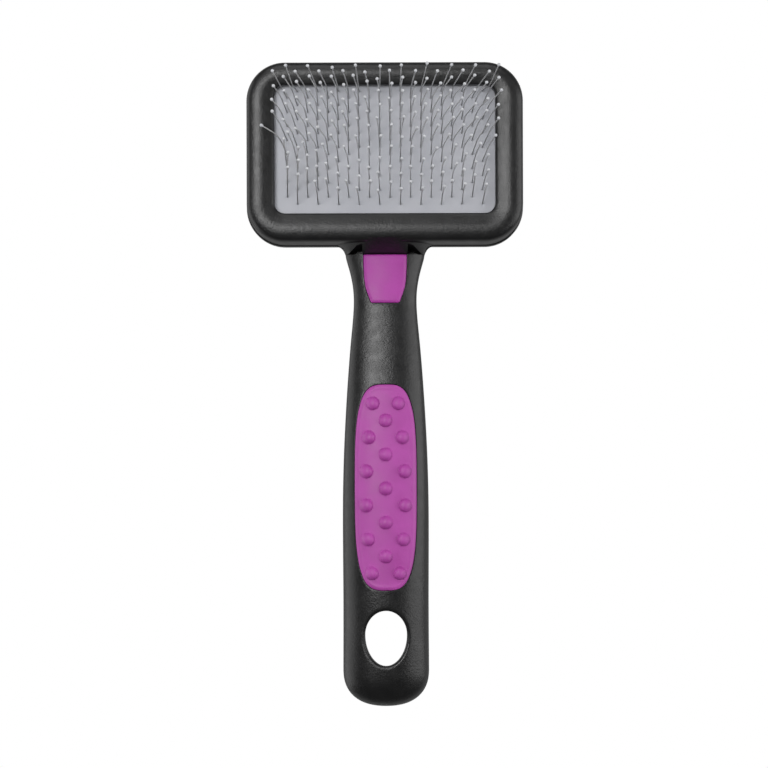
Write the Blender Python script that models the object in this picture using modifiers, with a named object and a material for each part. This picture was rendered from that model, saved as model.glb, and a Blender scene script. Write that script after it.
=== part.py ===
"""Slicker brush: a flat-headed grooming brush with a steel-pin pad, a two-shell handle and two soft inserts.

Metres, +Z up. The brush lies on its back: the pins point to +Z, the head is at the +Y end and the handle runs to -Y.
The head's flat back and the underside of the grip rest on z = 0. x = 0 is the plane of symmetry.
"""

import math

import bmesh
import bpy
import numpy as np
from mathutils import Matrix, Vector

MM = 0.001

# ---- driving dimensions, in millimetres ---------------------------------------------------------
LENGTH = 190.0  # head end at +95, butt end at -95
GAP = 0.3  # air between pieces that touch

HEAD_WIDTH = 81.7
HEAD_LENGTH = 54.3
HEAD_CORNER = 11.8
TRAY_CORNER = 11.3  # the back moulding is a little squarer than the frame on it
HEAD_CENTRE_Y = 95.0 - HEAD_LENGTH / 2
TRAY_FLOOR = 3.0
TRAY_WALL = 2.6
TRAY_TOP = 8.0
TRAY_EDGE = 2.4  # rounding of the back's outer edge

# section of the frame ring: (distance in from the head's outline, height)
FRAME_SECTION = [
    (0.32, 8.3), (0.4, 12.0), (0.52, 15.2), (0.73, 17.04), (1.0, 17.71), (1.4, 18.15), (1.95, 18.48), (3.1, 18.81), (4.15, 18.93), (4.85, 18.93),
    (5.8, 18.79), (7.0, 18.54), (8.1, 18.23), (8.5, 17.98), (8.7, 17.3), (8.7, 15.8), (5.0, 15.8), (4.3, 14.6), (4.3, 6.2), (2.9, 6.2), (2.9, 8.3),
]
LIP = 8.7  # the ring's width, from the outline to the pad's opening

PAD_EDGE = 6.6  # the pad and foam reach this near to the outline, under the lip
FOAM_Z = (3.3, 11.3)
CLOTH_Z = (11.6, 12.4)
CROWN_Z = (12.7, 13.2)
SHEET_Z = (13.5, 15.5)

PIN_ROWS = 17
PIN_COLUMNS = 20  # staggered: odd rows use one half of them and even rows the other
COLUMN_PITCH = 2.992
FIRST_ROW_Y = 52.3
LAST_ROW_Y = 85.2
WIRE = 0.25  # half the wire's width
TIP_BALL = 0.6  # radius
KNEE_UP = 8.0  # the bend's height over the pad's face
LOW_KNEE_UP = 5.6  # the same for the pins next to the frame's far lip, which start steeper to clear it
KNEE_SHARE = 0.6  # the part of the forward lean that lies below the bend
FAR_LIP_CLEAR_Y = 85.8  # no bend goes past this
BALL_UP = 13.5  # the ball's centre over the pad's face
PIN_HOLE = 0.52  # half the side of the holes in the pad's sheet
STRAY_ROW = 7  # the leftmost wire of this row is bent out of line

PART_Z = 8.0  # the plane where the handle's two shells meet
SECTION_POWER = 2.5  # squareness of the handle's rear half
ARCH_POWER = 2.06  # the front half is an upright wall with a nearly elliptical arch on it
ARCH_SHARE = [(42.0, 0.40), (10.0, 0.43), (-62.0, 0.66), (-80.0, 0.68)]  # the arch's height for a half-width of 1
FRONT_END_Y = 38.0  # the front shell stops here, short of the head
# the handle's half-width against y, from the head down to the butt
HALF_WIDTH = [
    (42.6, 13.9), (40.7, 13.1), (39.0, 12.06), (37.8, 11.6), (35.5, 10.98), (33.1, 10.33), (30.7, 9.76), (28.4, 9.3),
    (26.0, 9.09), (23.6, 9.14), (18.9, 9.47), (13.0, 10.1), (7.1, 10.6), (1.2, 11.04), (-4.7, 11.44), (-10.6, 11.78),
    (-16.5, 12.1), (-22.5, 12.34), (-28.4, 12.51), (-34.3, 12.62), (-40.2, 12.66), (-52.0, 12.63), (-63.8, 12.58),
    (-75.7, 12.64), (-84.5, 12.68), (-87.5, 12.4), (-90.4, 11.13), (-91.8, 10.0), (-93.1, 8.3), (-94.1, 6.3), (-94.75, 3.75),
    (-95.0, 2.2),
]
TOP_HEIGHT = [(42.6, 13.0), (38.0, 13.2), (26.0, 13.4), (13.0, 14.6), (0.0, 16.0), (-15.0, 17.2), (-30.0, 17.8),
              (-45.0, 17.8), (-60.0, 17.2), (-75.0, 16.3), (-84.0, 15.5)]
BOTTOM_HEIGHT = [(42.6, 0.3), (38.0, 0.7), (30.0, 1.8), (20.0, 2.2), (10.0, 2.0), (-10.0, 1.2), (-30.0, 0.5),
                 (-50.0, 0.1), (-65.0, 0.0), (-80.0, 0.3), (-84.0, 0.5)]
END_ROUND_Y = -84.0  # past this the butt rounds over to its end

GRIP_CENTRE_Y = -30.1
GRIP_HALF_LENGTH = 30.0
GRIP_HALF_WIDTH = 9.07
GRIP_POWER = 3.4
GRIP_POCKET_Z = 14.2
GRIP_PROUD = 0.35  # the insert stands this far over the shell
BUMP_PITCH = 4.944
BUMP_FIRST_Y = -5.6
BUMP_PAIRS = [3.75, 4.95, 5.65, 5.7, 5.2, 4.1]  # half the distance between the two bumps of each pair
BUMP_RADIUS = 2.05
BUMP_RISE = 1.4

NECK_POCKET_Z = 10.4
NECK_PROUD = 0.3
NECK_PLAN = [(38.0, 6.44), (34.5, 6.38), (30.5, 6.17), (28.3, 5.75), (26.2, 5.05), (24.4, 4.35), (23.75, 3.6)]

HOLE_CENTRE_Y = -74.23
HOLE_HALF = (6.15, 8.27)
# section of the hanging hole, which widens towards the back: (half-width, height)
HOLE_SECTION = [(0.0, -1.0), (10.0, -1.0), (8.8, 0.3), (8.1, 1.6), (7.6, 3.6), (6.95, 7.8), (6.2, 14.2), (6.2, 15.0), (6.45, 15.6), (7.05, 16.1),
                (8.2, 16.6), (10.4, 17.4), (0.0, 17.4)]

# the fairing that rises from the neck to the frame: its near and far end, its height there, and the hollow on each side of its middle
FAIRING_Y = (38.3, 40.72)
FAIRING_TOP = [(40.72, 16.8), (40.1, 15.95), (39.5, 15.1), (38.9, 14.2), (38.3, 13.15)]
FAIRING_HOLLOW_X = 6.6
FAIRING_HOLLOW_Z = (8.4, 21.0)

CAVITY_END_Y = (35.0, -58.5)  # the handle is hollow between these

# ---- setting up -----------------------------------------------------------------------------------
for old in list(bpy.data.objects):
    bpy.data.objects.remove(old, do_unlink=True)
brush = bpy.data.collections.new("slicker_brush")
bpy.context.scene.collection.children.link(brush)


def material(name, colour, roughness, metallic=0.0):
    made = bpy.data.materials.new(name)
    made.use_nodes = True
    shader = made.node_tree.nodes["Principled BSDF"]
    shader.inputs["Base Color"].default_value = (*colour, 1.0)
    shader.inputs["Roughness"].default_value = roughness
    shader.inputs["Metallic"].default_value = metallic
    made.diffuse_color = (*colour, 1.0)
    return made


def add(name, mesh, look):
    made = bpy.data.objects.new(name, mesh)
    brush.objects.link(made)
    mesh.materials.clear()
    mesh.materials.append(look)
    return made


def taken(made):
    """The object's mesh as its modifiers and matrix leave it, and the object goes."""
    bpy.context.view_layer.update()
    graph = bpy.context.evaluated_depsgraph_get()
    mesh = bpy.data.meshes.new_from_object(made.evaluated_get(graph))
    mesh.transform(made.matrix_world)
    bpy.data.objects.remove(made, do_unlink=True)
    return cleaned(mesh)


def cleaned(mesh, near=0.000004):
    bm = bmesh.new()
    bm.from_mesh(mesh)
    bmesh.ops.remove_doubles(bm, verts=bm.verts, dist=near)
    bmesh.ops.dissolve_degenerate(bm, edges=bm.edges, dist=near / 4)
    bmesh.ops.recalc_face_normals(bm, faces=bm.faces)
    bm.to_mesh(mesh)
    bm.free()
    return mesh


def temporary(mesh):
    made = bpy.data.objects.new("temporary", mesh)
    bpy.context.scene.collection.objects.link(made)
    return made


def combined(first, second, operation):
    """The mesh of first and second after an exact Boolean."""
    a, b = temporary(first), temporary(second)
    cut = a.modifiers.new("cut", "BOOLEAN")
    cut.operation = operation
    cut.solver = "EXACT"
    cut.object = b
    result = taken(a)
    bpy.data.objects.remove(b, do_unlink=True)
    return result


def rounded_outline(width, length, radius, steps=8):
    """Points round a rectangle with rounded corners, centred on the origin, in millimetres."""
    points = []
    for corner, (sx, sy) in enumerate([(1, 1), (-1, 1), (-1, -1), (1, -1)]):
        for step in range(steps + 1):
            angle = math.pi / 2 * (corner + step / steps)
            points.append((sx * (width / 2 - radius) + radius * math.cos(angle), sy * (length / 2 - radius) + radius * math.sin(angle)))
    return points


def outline_curve(points, name="outline"):
    curve = bpy.data.curves.new(name, "CURVE")
    curve.dimensions = "2D"
    spline = curve.splines.new("POLY")
    spline.points.add(len(points) - 1)
    for point, (x, y) in zip(spline.points, points):
        point.co = (x * MM, y * MM, 0.0, 1.0)
    spline.use_cyclic_u = True
    curve.render_resolution_u = 0
    return curve


def plate(points, low, high, centre_y=0.0, edge=0.0, edge_steps=2):
    """A flat plate of the outline between two heights, with its edges rounded by edge."""
    curve = outline_curve(points)
    curve.fill_mode = "BOTH"
    curve.extrude = (high - low) / 2 * MM - edge * MM
    curve.bevel_depth = edge * MM
    curve.bevel_resolution = edge_steps
    curve.offset = -edge * MM
    made = bpy.data.objects.new("plate", curve)
    bpy.context.scene.collection.objects.link(made)
    made.location = (0.0, centre_y * MM, (low + high) / 2 * MM)
    return taken(made)


def ring(points, section, centre_y):
    """The closed section swept round the outline."""
    profile = outline_curve([(-d, z) for d, z in section], "section")
    profile_object = bpy.data.objects.new("section", profile)
    bpy.context.scene.collection.objects.link(profile_object)
    path = outline_curve(points, "path")
    path.dimensions = "3D"
    path.twist_mode = "Z_UP"
    path.bevel_mode = "OBJECT"
    path.bevel_object = profile_object
    made = bpy.data.objects.new("ring", path)
    bpy.context.scene.collection.objects.link(made)
    made.location = (0.0, centre_y * MM, 0.0)
    mesh = taken(made)
    bpy.data.objects.remove(profile_object, do_unlink=True)
    return mesh


def revolved(section, steps, stretch_y, centre_y):
    """A closed solid turned from (radius, height) points, stretched along y."""
    mesh = bpy.data.meshes.new("turned")
    mesh.from_pydata([(r * MM, 0.0, z * MM) for r, z in section], [(i, i + 1) for i in range(len(section) - 1)], [])
    made = temporary(mesh)
    turn = made.modifiers.new("turn", "SCREW")
    turn.steps = turn.render_steps = steps
    turn.use_merge_vertices = True
    turn.merge_threshold = 0.00001
    turn.use_normal_calculate = True
    made.scale = (1.0, stretch_y, 1.0)
    made.location = (0.0, centre_y * MM, 0.0)
    return taken(made)


def block(bm, centre, size):
    """Adds a box to bm, in millimetres."""
    matrix = Matrix.Translation(Vector(centre) * MM) @ Matrix.Diagonal((*(Vector(size) * MM), 1.0))
    bmesh.ops.create_cube(bm, size=1.0, matrix=matrix)


def at(table, y):
    ys = [row[0] for row in table][::-1]
    values = [row[1] for row in table][::-1]
    return float(np.interp(y, ys, values))


def smooth_at(table, y, span=4.0):
    """The table's value, averaged over a short length so that its corners don't show."""
    return sum(at(table, y + span * k / 4) for k in range(-4, 5)) / 9


def end_factor(y):
    """From 1 down to a third: how the handle's thickness goes at the butt."""
    if y >= END_ROUND_Y:
        return 1.0
    t = (END_ROUND_Y - y) / (END_ROUND_Y + LENGTH / 2 + 0.25)
    return (1.0 - t**2.6) ** (1 / 2.6)


def loft(rings):
    """A closed solid through rings of equally many points, with flat ends."""
    bm = bmesh.new()
    levels = [[bm.verts.new(Vector(p) * MM) for p in points] for points in rings]
    for near, far in zip(levels, levels[1:]):
        for i in range(len(near)):
            j = (i + 1) % len(near)
            bm.faces.new((near[i], near[j], far[j], far[i]))
    bm.faces.new(levels[0][::-1])
    bm.faces.new(levels[-1])
    bmesh.ops.recalc_face_normals(bm, faces=bm.faces)
    mesh = bpy.data.meshes.new("loft")
    bm.to_mesh(mesh)
    bm.free()
    return mesh


def front_arch(y, half, rise):
    """The front half's section: the height of its upright wall and that of the arch on it."""
    wall = max(rise - half * at(ARCH_SHARE, y), min(0.3, rise / 3))
    return wall, rise - wall


def half_section(y, side, steps=12, grow=0.0):
    """The handle's section at y above (side 1) or below (side -1) the parting plane."""
    half = at(HALF_WIDTH, y) + grow
    flat = PART_Z + side * GAP / 2
    if side > 0:
        rise = (smooth_at(TOP_HEIGHT, y) - PART_Z) * end_factor(y) + grow
        wall, arch = front_arch(y, half, rise)
        power = ARCH_POWER
    else:
        rise = (PART_Z - smooth_at(BOTTOM_HEIGHT, y)) * end_factor(y) + grow
        wall, arch, power = 0.0, rise, SECTION_POWER
    points = []
    for i in range(steps + 1):
        angle = math.pi * i / steps
        x = half * math.copysign(abs(math.cos(angle)) ** (2 / power), math.cos(angle))
        z = PART_Z + side * max(GAP / 2, wall + arch * math.sin(angle) ** (2 / power))
        points.append((x, y, z))
    if side > 0:
        points = [(half, y, flat)] + points + [(-half, y, flat)]
    else:
        points[0] = (points[0][0], y, flat)
        points[-1] = (points[-1][0], y, flat)
    return points


def handle_half(start, side, grow=0.0):
    stations = [start] + [row[0] for row in HALF_WIDTH if row[0] < start - 0.5]
    return loft([half_section(y, side, grow=grow) for y in stations])


def cavity():
    rings = []
    for y in (CAVITY_END_Y[0], 30.0, 24.0, 12.0, 0.0, -15.0, -30.0, -45.0, CAVITY_END_Y[1]):
        half = at(HALF_WIDTH, y) - 2.6
        up = min(smooth_at(TOP_HEIGHT, y) - PART_Z - 2.4, 4.2 if y < 6.0 else 1.0 if y > 22.0 else 2.6)
        down = PART_Z - smooth_at(BOTTOM_HEIGHT, y) - 2.4
        points = []
        for i in range(16):
            angle = 2 * math.pi * i / 16
            x = half * math.copysign(abs(math.cos(angle)) ** 0.7, math.cos(angle))
            rise = up if math.sin(angle) > 0 else down
            z = PART_Z + rise * math.copysign(abs(math.sin(angle)) ** 0.7, math.sin(angle))
            points.append((x, y, z))
        rings.append(points)
    return loft(rings)


def fairing():
    """The arched slope behind the end of the front shell, with a tapered hollow on each side of its middle."""
    rings = []
    for y, top in FAIRING_TOP:
        half = at(HALF_WIDTH, y) * (1.0 - 0.1 * (y - FAIRING_Y[0]) / 4.3)
        low = PART_Z - 0.6
        points = [(-half * 0.9, y, 6.2), (half * 0.9, y, 6.2)]
        for i in range(17):
            angle = math.pi * i / 16
            x = half * math.copysign(abs(math.cos(angle)) ** (2 / 2.3), math.cos(angle))
            points.append((x, y, low + (top - low) * math.sin(angle) ** (2 / 2.3)))
        rings.append(points)
    made = loft(rings)
    for side in (-1, 1):
        tool = []
        for z in FAIRING_HOLLOW_Z:
            out, deep = 9.4 + 0.42 * (z - 8.4), 39.1 + 0.2 * (z - 8.4)
            tool.append([(side * x, y, z) for x, y in ((FAIRING_HOLLOW_X, 37.0), (out, 37.0), (out, 38.4), (7.0, deep), (FAIRING_HOLLOW_X, deep))])
        made = combined(made, loft(tool), "DIFFERENCE")
    return made


# ---- materials --------------------------------------------------------------------------------------
black = material("black_plastic", (0.035, 0.035, 0.037), 0.45)
purple = material("purple_rubber", (0.42, 0.085, 0.35), 0.5)
grey = material("grey_pad", (0.42, 0.43, 0.47), 0.55)
cloth = material("backing_cloth", (0.5, 0.48, 0.44), 0.9)
foam = material("foam", (0.55, 0.54, 0.5), 0.95)
steel = material("pin_steel", (0.55, 0.55, 0.54), 0.3, 1.0)

# ---- the head: tray, frame, foam, cloth and sheet ---------------------------------------------------
outline = rounded_outline(HEAD_WIDTH, HEAD_LENGTH, HEAD_CORNER)


def inset(distance):
    return rounded_outline(HEAD_WIDTH - 2 * distance, HEAD_LENGTH - 2 * distance, max(HEAD_CORNER - distance, 1.5))


tray = plate(rounded_outline(HEAD_WIDTH, HEAD_LENGTH, TRAY_CORNER), 0.0, TRAY_TOP + TRAY_EDGE, HEAD_CENTRE_Y, TRAY_EDGE, 3)
lid = plate(rounded_outline(120.0, 80.0, 4.0, 1), TRAY_TOP, 20.0, HEAD_CENTRE_Y)
tray = combined(tray, lid, "DIFFERENCE")
back = combined(tray, handle_half(42.6, -1), "UNION")
back = combined(back, plate(inset(TRAY_WALL), TRAY_FLOOR, 20.0, HEAD_CENTRE_Y), "DIFFERENCE")
back = combined(back, fairing(), "UNION")
front = handle_half(FRONT_END_Y, 1)
hollow = cavity()
hole = revolved(HOLE_SECTION, 32, HOLE_HALF[1] / HOLE_HALF[0], HOLE_CENTRE_Y)
back = combined(back, hollow.copy(), "DIFFERENCE")
back = combined(back, hole.copy(), "DIFFERENCE")
front = combined(front, hollow.copy(), "DIFFERENCE")
front = combined(front, hole.copy(), "DIFFERENCE")

add("head_frame", ring(outline, FRAME_SECTION, HEAD_CENTRE_Y), black)
add("foam_cushion", plate(inset(PAD_EDGE), *FOAM_Z, HEAD_CENTRE_Y), foam)
add("backing_cloth", plate(inset(PAD_EDGE), *CLOTH_Z, HEAD_CENTRE_Y), cloth)

# ---- the pins ---------------------------------------------------------------------------------------


def row_y(row):
    return FIRST_ROW_Y + (LAST_ROW_Y - FIRST_ROW_Y) * row / (PIN_ROWS - 1)


def row_columns(row):
    """The x of each pin in a row: rows take turns between the odd and the even columns."""
    return [(column - (PIN_COLUMNS - 1) / 2) * COLUMN_PITCH for column in range(PIN_COLUMNS) if column % 2 != row % 2]


def eased(t):
    t = min(1.0, max(0.0, t))
    return t * t * (3.0 - 2.0 * t)


def lean(x, y):
    """How far a pin's tip stands off its foot: away from the handle, and outward towards the far corners."""
    u, v = x / 28.5, (y - 68.75) / 16.45
    far = eased((v + 0.58) / 0.48)
    dy = 3.4 + 3.4 * far - 1.1 * (max(0.0, v - 0.35) / 0.6) ** 2
    dy += (1.0 - far) * (4.0 * eased((-u - 0.42) / 0.5) + 1.4 * eased((u - 0.5) / 0.35))
    dx = (0.15 + 0.85 * far) * u * (3.6 if u < 0 else 4.3) + (1.0 - far) * 1.6 * eased((-u - 0.6) / 0.4)
    return dx, dy


def pin(x, y, stray):
    """One wire from its crown behind the pad to its ball, as square rings. The stray one is bent out over the rim."""
    dx, dy = lean(x, y)
    face = SHEET_Z[1]
    foot = Vector((x, y, (CROWN_Z[0] + CROWN_Z[1]) / 2))
    share, bend = KNEE_SHARE, KNEE_UP
    if y + share * dy > FAR_LIP_CLEAR_Y:
        share, bend = max(FAR_LIP_CLEAR_Y + 0.2 - y, 0.4) / dy, LOW_KNEE_UP
    out = 0.1 + 0.35 * eased((abs(x) / 28.5 - 0.72) / 0.25)
    knees = [Vector((x + dx * out, y + dy * share, face + bend))]
    ball = Vector((x + dx, y + dy, face + BALL_UP))
    if stray:
        knees = [Vector((x - 1.2, y + 3.1, face + 4.2)), Vector((x - 2.7, y + 5.3, face + 6.2))]
        ball = Vector((x - 7.0, y + 7.7, face + 8.6))
    way = (ball - knees[-1]).normalized()
    stops = [
        (foot, WIRE), (Vector((x, y, face + 0.1)), WIRE), *((knee, WIRE) for knee in knees),
        (ball - way * TIP_BALL * 0.95, WIRE), (ball - way * TIP_BALL * 0.1, TIP_BALL * 1.1), (ball + way * TIP_BALL, TIP_BALL * 0.45),
    ]
    rings = []
    for place, size in stops:
        rings.append([(place.x + size * a, place.y + size * b, place.z - size * b * 0.35 * (place.z > face + 6)) for a, b in ((1, 1), (-1, 1), (-1, -1), (1, -1))])
    return rings


def pin_row(row):
    y = row_y(row)
    xs = row_columns(row)
    bar = bmesh.new()
    block(bar, ((xs[0] + xs[-1]) / 2, y, sum(CROWN_Z) / 2), (xs[-1] - xs[0] + 2 * WIRE + 0.6, 2 * WIRE + 0.2, CROWN_Z[1] - CROWN_Z[0]))
    crown = bpy.data.meshes.new("crown")
    bar.to_mesh(crown)
    bar.free()
    wires = bmesh.new()
    for x in xs:
        stray = row == STRAY_ROW and x < -28.0
        levels = [[wires.verts.new(Vector(p) * MM) for p in points] for points in pin(x, y, stray)]
        for near, far in zip(levels, levels[1:]):
            for i in range(4):
                j = (i + 1) % 4
                wires.faces.new((near[i], near[j], far[j], far[i]))
        wires.faces.new(levels[0][::-1])
        wires.faces.new(levels[-1])
    bmesh.ops.recalc_face_normals(wires, faces=wires.faces)
    mesh = bpy.data.meshes.new("wires")
    wires.to_mesh(mesh)
    wires.free()
    return combined(crown, mesh, "UNION")


for row in range(PIN_ROWS):
    add(f"pin_row_{row + 1:02d}", pin_row(row), steel)

punches = bmesh.new()
for row in range(PIN_ROWS):
    for x in row_columns(row):
        block(punches, (x, row_y(row), sum(SHEET_Z) / 2), (2 * PIN_HOLE, 2 * PIN_HOLE, 6.0))
punch = bpy.data.meshes.new("punches")
punches.to_mesh(punch)
punches.free()
add("pad_sheet", combined(plate(inset(PAD_EDGE), *SHEET_Z, HEAD_CENTRE_Y), punch, "DIFFERENCE"), grey)

# ---- the handle's soft inserts ----------------------------------------------------------------------


def oval(half_width, half_length, power, steps=40):
    points = []
    for i in range(steps):
        angle = 2 * math.pi * (i + 0.5) / steps
        c, s = math.cos(angle), math.sin(angle)
        points.append((half_width * math.copysign(abs(c) ** (2 / power), c), half_length * math.copysign(abs(s) ** (2 / power), s)))
    return points


def neck_outline(grow, top):
    right = [(w + grow, y) for y, w in NECK_PLAN]
    right[-1] = (right[-1][0], right[-1][1] - grow)
    right[0] = (right[0][0], top)
    return right + [(-x, y) for x, y in right[::-1]]


def handle_skin(grow, start):
    """The handle's upper half grown all over, as a tool that trims an insert to the shell's own surface."""
    return handle_half(start, 1, grow)


front = combined(front, plate(oval(GRIP_HALF_WIDTH, GRIP_HALF_LENGTH, GRIP_POWER), GRIP_POCKET_Z, 24.0, GRIP_CENTRE_Y), "DIFFERENCE")
front = combined(front, plate(neck_outline(0.0, 44.0), NECK_POCKET_Z, 24.0), "DIFFERENCE")

grip = plate(oval(GRIP_HALF_WIDTH - GAP, GRIP_HALF_LENGTH - GAP, GRIP_POWER), GRIP_POCKET_Z + GAP, 24.0, GRIP_CENTRE_Y)
grip = combined(grip, handle_skin(GRIP_PROUD, 20.0), "INTERSECT")
neck = plate(neck_outline(-GAP, FRONT_END_Y), NECK_POCKET_Z + GAP, 24.0)
neck = combined(neck, handle_skin(NECK_PROUD, 40.7), "INTERSECT")

bumps = bmesh.new()
for k in range(11):
    y = BUMP_FIRST_Y - k * BUMP_PITCH
    for x in (0.0,) if k % 2 else (-BUMP_PAIRS[k // 2], BUMP_PAIRS[k // 2]):
        half = at(HALF_WIDTH, y) + GRIP_PROUD
        wall, arch = front_arch(y, half, smooth_at(TOP_HEIGHT, y) - PART_Z + GRIP_PROUD)
        z = PART_Z + wall + arch * (1 - (abs(x) / half) ** ARCH_POWER) ** (1 / ARCH_POWER)
        place = Matrix.Translation(Vector((x, y, z - 0.35)) * MM) @ Matrix.Diagonal((BUMP_RADIUS * MM, BUMP_RADIUS * MM, (BUMP_RISE + 0.35) * MM, 1.0))
        bmesh.ops.create_uvsphere(bumps, u_segments=12, v_segments=6, radius=1.0, matrix=place)
domes = bpy.data.meshes.new("domes")
bumps.to_mesh(domes)
bumps.free()
grip = combined(grip, domes, "UNION")

add("back_shell", back, black)
add("front_shell", front, black)
add("grip_insert", grip, purple)
add("neck_insert", neck, purple)
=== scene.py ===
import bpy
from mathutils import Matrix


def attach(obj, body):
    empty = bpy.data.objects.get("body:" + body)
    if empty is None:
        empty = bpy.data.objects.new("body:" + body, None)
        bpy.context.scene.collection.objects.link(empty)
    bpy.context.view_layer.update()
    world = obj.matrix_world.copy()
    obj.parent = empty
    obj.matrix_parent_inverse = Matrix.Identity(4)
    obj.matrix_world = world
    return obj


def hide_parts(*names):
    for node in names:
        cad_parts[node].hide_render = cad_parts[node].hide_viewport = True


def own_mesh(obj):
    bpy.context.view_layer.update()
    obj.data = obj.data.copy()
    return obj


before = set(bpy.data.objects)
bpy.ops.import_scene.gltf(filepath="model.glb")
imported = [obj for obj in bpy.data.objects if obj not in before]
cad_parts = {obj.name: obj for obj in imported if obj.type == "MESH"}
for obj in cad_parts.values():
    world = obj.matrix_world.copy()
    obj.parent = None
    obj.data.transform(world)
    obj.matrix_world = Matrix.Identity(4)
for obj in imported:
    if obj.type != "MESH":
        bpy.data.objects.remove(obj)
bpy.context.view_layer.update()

import math
import random

import bmesh
import bpy
import numpy as np
from mathutils import Matrix, Vector

MM = 0.001

# ---- sizes in millimetres, the same as the CAD's -----------------------------------------------------
HEAD_W, HEAD_L, FRAME_R, TRAY_R = 81.7, 54.3, 11.8, 11.3
HEAD_Y = 95.0 - HEAD_L / 2
PART = 8.0
FACE = 15.5  # the pad's face
ROWS, COLUMNS, PITCH = 17, 20, 2.992
ROW_Y = (52.3, 85.2)
KNEE, LOW_KNEE, BALL = 8.0, 5.6, 13.5
WIRE_R, BALL_R = 0.17, 0.48
STRAY_ROW = 7

HALF_WIDTH = [
    (44.0, 17.0), (41.6, 16.6), (41.1, 15.3), (40.75, 14.2), (40.4, 13.3), (40.0, 12.72), (39.0, 12.06), (37.8, 11.6), (35.5, 10.98), (33.1, 10.33),
    (30.7, 9.76), (28.4, 9.3), (26.0, 9.09), (23.6, 9.14), (18.9, 9.47), (13.0, 10.1), (7.1, 10.6), (1.2, 11.04),
    (-4.7, 11.44), (-10.6, 11.78), (-16.5, 12.1), (-22.5, 12.34), (-28.4, 12.51), (-34.3, 12.62), (-40.2, 12.66),
    (-52.0, 12.63), (-63.8, 12.58), (-75.7, 12.64), (-84.0, 12.68), (-96.0, 12.68),
]
TOP = [(46.0, 13.1), (38.0, 13.2), (32.0, 13.2), (26.0, 13.4), (13.0, 14.6), (0.0, 16.0), (-15.0, 17.2), (-30.0, 17.8), (-45.0, 17.8),
       (-60.0, 17.2), (-75.0, 16.3), (-84.0, 15.6), (-96.0, 14.8)]
BOTTOM = [(46.0, 0.1), (41.0, 0.3), (38.0, 0.7), (30.0, 1.8), (20.0, 2.2), (10.0, 2.0), (-10.0, 1.2), (-30.0, 0.5), (-50.0, 0.1), (-65.0, 0.02),
          (-80.0, 0.3), (-96.0, 0.6)]
END = -84.0


# ---- curves and surfaces ------------------------------------------------------------------------------
def smooth_table(table, sigma, step=0.1):
    """The table as a function, softened over sigma millimetres."""
    rows = sorted(table)
    ys = np.arange(rows[0][0], rows[-1][0] + step, step)
    values = np.interp(ys, [r[0] for r in rows], [r[1] for r in rows])
    n = int(4 * sigma / step)
    kernel = np.exp(-0.5 * (np.arange(-n, n + 1) * step / sigma) ** 2)
    kernel /= kernel.sum()
    padded = np.concatenate([np.full(n, values[0]), values, np.full(n, values[-1])])
    soft = np.convolve(padded, kernel, "valid")
    return lambda y: np.interp(y, ys, soft)


wide_soft = smooth_table(HALF_WIDTH, 3.0)
wide_sharp = smooth_table(HALF_WIDTH, 0.35)
top_soft = smooth_table(TOP, 5.0)
bottom_soft = smooth_table(BOTTOM, 4.0)


def end_share(y, power):
    t = np.clip((END - np.asarray(y, float)) / 11.0, 0.0, 1.0)
    return (1.0 - t**power) ** (1.0 / power)


def half_width(y):
    y = np.asarray(y, float)
    mix = np.clip((y - 34.0) / 4.0, 0, 1)
    return (wide_soft(y) * (1 - mix) + wide_sharp(y) * mix) * end_share(y, 2.4)


def rise(y, side):
    y = np.asarray(y, float)
    full = top_soft(y) - PART if side > 0 else PART - bottom_soft(y)
    return full * end_share(y, 2.5)


def dome(y, side):
    """The section: the height of its upright wall, that of the arch on it, and the arch's power."""
    full = rise(y, side)
    if side < 0:
        return 0.0 * full, full, 2.5
    arch = np.minimum(full, half_width(y) * np.interp(y, [-80.0, -62.0, 10.0, 42.0], [0.68, 0.66, 0.43, 0.40]))
    return full - arch, arch, 2.06


def surface(x, y, side=1):
    """Height of the handle's skin over the point."""
    w = np.maximum(half_width(y), 1e-6)
    wall, arch, p = dome(y, side)
    share = np.clip(1.0 - (np.abs(x) / w) ** p, 0.0, 1.0)
    return PART + side * (wall + arch * share ** (1.0 / p))


def mesh_from(name, verts, faces):
    mesh = bpy.data.meshes.new(name)
    mesh.from_pydata([tuple(v) for v in np.asarray(verts, float) * MM], [], faces)
    mesh.validate()
    return mesh


def closed_loft(name, rings, cap=True):
    """A solid through equal rings of points."""
    rings = [np.asarray(r, float) for r in rings]
    m = len(rings[0])
    verts = np.concatenate(rings)
    faces = []
    for k in range(len(rings) - 1):
        a, b = k * m, (k + 1) * m
        faces += [(a + i, a + (i + 1) % m, b + (i + 1) % m, b + i) for i in range(m)]
    if cap:
        faces.append(tuple(range(m))[::-1])
        faces.append(tuple((len(rings) - 1) * m + i for i in range(m)))
    mesh = mesh_from(name, verts, faces)
    bm = bmesh.new()
    bm.from_mesh(mesh)
    bmesh.ops.remove_doubles(bm, verts=bm.verts, dist=2e-6)
    bmesh.ops.recalc_face_normals(bm, faces=bm.faces)
    bm.to_mesh(mesh)
    bm.free()
    return mesh


def new_object(name, mesh):
    made = bpy.data.objects.new(name, mesh)
    bpy.context.scene.collection.objects.link(made)
    return made


def boolean(mesh, tool, operation):
    a, b = new_object("a", mesh), new_object("b", tool)
    cut = a.modifiers.new("cut", "BOOLEAN")
    cut.operation, cut.solver, cut.object = operation, "EXACT", b
    bpy.context.view_layer.update()
    result = bpy.data.meshes.new_from_object(a.evaluated_get(bpy.context.evaluated_depsgraph_get()))
    bpy.data.objects.remove(a, do_unlink=True)
    bpy.data.objects.remove(b, do_unlink=True)
    bm = bmesh.new()
    bm.from_mesh(result)
    bmesh.ops.remove_doubles(bm, verts=bm.verts, dist=2e-6)
    bmesh.ops.dissolve_degenerate(bm, edges=bm.edges, dist=1e-6)
    bm.to_mesh(result)
    bm.free()
    return result


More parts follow.
